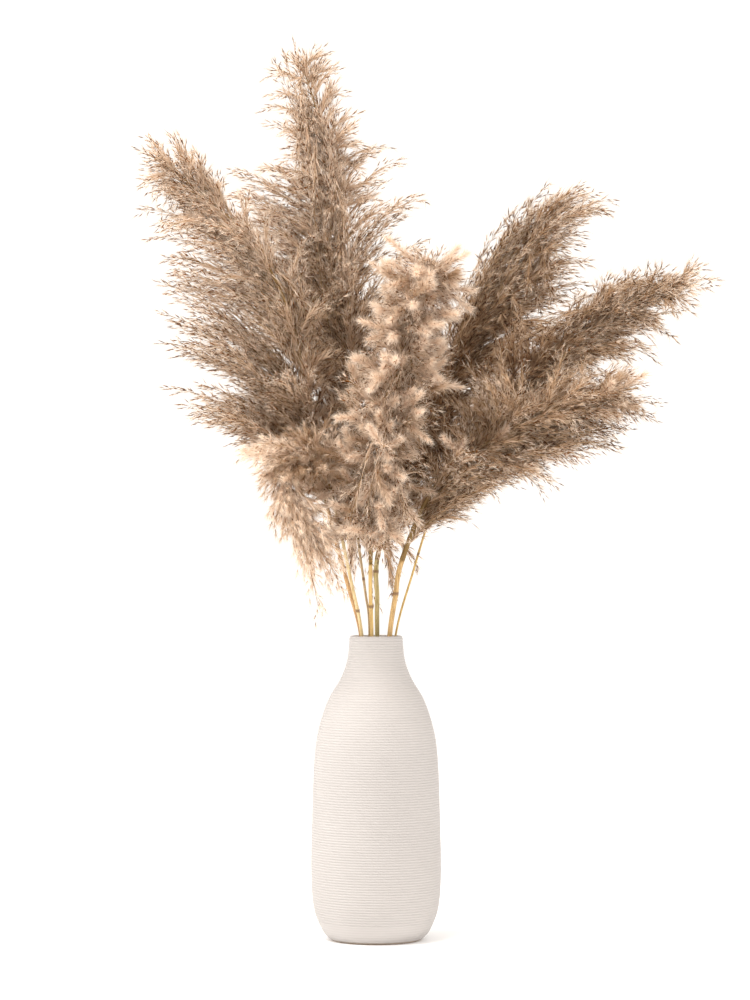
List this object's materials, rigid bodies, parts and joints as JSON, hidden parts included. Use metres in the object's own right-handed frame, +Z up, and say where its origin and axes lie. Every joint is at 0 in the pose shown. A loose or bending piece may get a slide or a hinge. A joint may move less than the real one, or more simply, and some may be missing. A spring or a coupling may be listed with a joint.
{
  "type": "vase of pampas grass",
  "caption": "Tall ribbed ceramic bottle vase holding dried reeds of pampas grass with large feathery plumes.",
  "frame": {"origin": "middle of the vase's flat foot, on the surface that it stands on", "axes": "+Z up along the vase's axis; the arrangement's front faces -Y, and its tallest plume leans to -X"},
  "size_m": [0.5443, 0.243, 0.836],
  "materials": {
    "white_ceramic": "matte, finely ribbed",
    "straw": "dry, satin",
    "fluff": "dry, feathery"
  },
  "bodies": {
    "root": {"vase": "white_ceramic", "stem_left": "straw", "stem_nodding": "straw", "stem_top": "straw", "stem_front": "straw", "stem_upper_right": "straw", "stem_low_right": "straw", "stem_far_right": "straw", "plume_left": "fluff", "plume_nodding": "fluff", "plume_top": "fluff", "plume_front": "fluff", "plume_upper_right": "fluff", "plume_low_right": "fluff", "plume_far_right": "fluff"}
  },
  "joints": []
}
